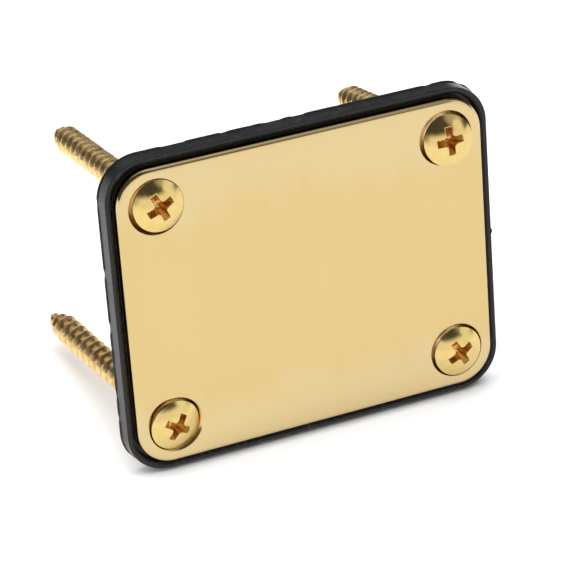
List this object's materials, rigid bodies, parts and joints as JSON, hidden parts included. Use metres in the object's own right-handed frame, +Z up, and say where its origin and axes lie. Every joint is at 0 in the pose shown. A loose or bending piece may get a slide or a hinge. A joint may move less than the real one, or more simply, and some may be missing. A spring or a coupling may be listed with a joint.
{
  "type": "guitar neck plate",
  "caption": "Rounded rectangular neck plate in a shallow cushion gasket, with raised-head wood screws through its corners, leaning back on a lower screw.",
  "frame": {"origin": "on the surface the part stands on, under the middle of its bounding box", "axes": "+X along the plate's long side, to the right as the polished face is seen; +Y backwards, the way the screws point; +Z up. The plate leans back 10.0 degrees about its lower edge, as it stands in the picture."},
  "size_m": [0.0672, 0.0514, 0.0537],
  "materials": {
    "plate_gold": "polished",
    "screw_gold": "polished",
    "cushion_black": "satin"
  },
  "bodies": {
    "plate_and_cushion": {"cushion_gasket": "cushion_black", "neck_plate": "plate_gold"},
    "screw_top_left": {"screw_top_left": "screw_gold"},
    "screw_top_right": {"screw_top_right": "screw_gold"},
    "screw_bottom_left": {"screw_bottom_left": "screw_gold"},
    "screw_bottom_right": {"screw_bottom_right": "screw_gold"}
  },
  "joints": [
    {"name": "screw_top_left_draw", "type": "slide", "parent": "plate_and_cushion", "child": "screw_top_left", "axis": [0.0105, -0.976, 0.2174], "range_m": [0, 0.046]},
    {"name": "screw_top_right_draw", "type": "slide", "parent": "plate_and_cushion", "child": "screw_top_right", "axis": [-0.0225, -0.951, 0.3083], "range_m": [0, 0.046]},
    {"name": "screw_bottom_left_draw", "type": "slide", "parent": "plate_and_cushion", "child": "screw_bottom_left", "axis": [0.1008, -0.9903, 0.096], "range_m": [0, 0.046]},
    {"name": "screw_bottom_right_draw", "type": "slide", "parent": "plate_and_cushion", "child": "screw_bottom_right", "axis": [0.0262, -0.9852, 0.1694], "range_m": [0, 0.046]}
  ]
}
